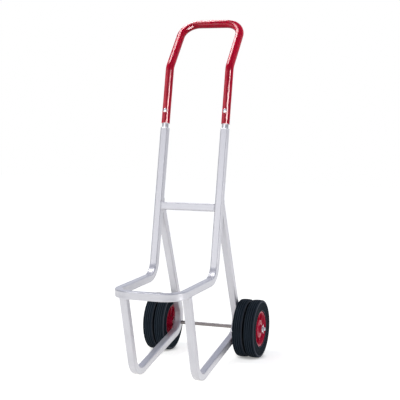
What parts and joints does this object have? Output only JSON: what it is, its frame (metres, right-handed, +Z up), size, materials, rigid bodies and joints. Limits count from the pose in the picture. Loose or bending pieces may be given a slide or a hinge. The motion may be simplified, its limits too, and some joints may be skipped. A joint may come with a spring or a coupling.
{
  "type": "chair dolly",
  "caption": "Hand truck for stacked chairs: bent square-tube frame with an under-seat loop, a bolted loop handle and paired wheels on a cross axle.",
  "frame": {"origin": "on the floor under the middle of the object's box", "axes": "+Z up, -Y towards the loop that goes under the chairs, +X to the right of a person who faces the back of the frame from the loop's side, along the axle"},
  "size_m": [0.548, 0.84, 1.481],
  "materials": {
    "frame_aluminium": "satin, lightly brushed along the tube",
    "handle_red": "gloss red coating on round tube",
    "hub_red": "moulded red plastic, semi-gloss",
    "tyre_black": "black rubber with fine rings round the tread",
    "axle_steel": "bare drawn steel bar",
    "bright_hardware": "bright zinc plate",
    "bush_nylon": "natural nylon"
  },
  "bodies": {
    "frame": {"upper_frame": "frame_aluminium", "cross_bar": "frame_aluminium", "left_side_tube": "frame_aluminium", "right_side_tube": "frame_aluminium", "left_handle_spigot": "frame_aluminium", "right_handle_spigot": "frame_aluminium", "handle": "handle_red", "handle_bolts": "bright_hardware", "handle_nuts": "bright_hardware", "axle": "axle_steel", "axle_spacers": "bright_hardware", "middle_washers": "bright_hardware", "outer_washers": "bright_hardware", "left_cotter_pin": "bright_hardware", "right_cotter_pin": "bright_hardware"},
    "left_inner_wheel": {"left_inner_tyre": "tyre_black", "left_inner_hub": "hub_red", "left_inner_outboard_bush": "bush_nylon", "left_inner_inboard_bush": "bush_nylon"},
    "left_outer_wheel": {"left_outer_tyre": "tyre_black", "left_outer_hub": "hub_red", "left_outer_outboard_bush": "bush_nylon", "left_outer_inboard_bush": "bush_nylon"},
    "right_inner_wheel": {"right_inner_tyre": "tyre_black", "right_inner_hub": "hub_red", "right_inner_outboard_bush": "bush_nylon", "right_inner_inboard_bush": "bush_nylon"},
    "right_outer_wheel": {"right_outer_tyre": "tyre_black", "right_outer_hub": "hub_red", "right_outer_outboard_bush": "bush_nylon", "right_outer_inboard_bush": "bush_nylon"}
  },
  "joints": [
    {"name": "left_inner_wheel_spin", "type": "hinge", "parent": "frame", "child": "left_inner_wheel", "pos_m": [-0.1823, 0.293, 0.127], "axis": [1, 0, 0], "continuous": true},
    {"name": "left_outer_wheel_spin", "type": "hinge", "parent": "frame", "child": "left_outer_wheel", "pos_m": [-0.2363, 0.293, 0.127], "axis": [1, 0, 0], "continuous": true},
    {"name": "right_inner_wheel_spin", "type": "hinge", "parent": "frame", "child": "right_inner_wheel", "pos_m": [0.1823, 0.293, 0.127], "axis": [1, 0, 0], "continuous": true},
    {"name": "right_outer_wheel_spin", "type": "hinge", "parent": "frame", "child": "right_outer_wheel", "pos_m": [0.2363, 0.293, 0.127], "axis": [1, 0, 0], "continuous": true}
  ]
}
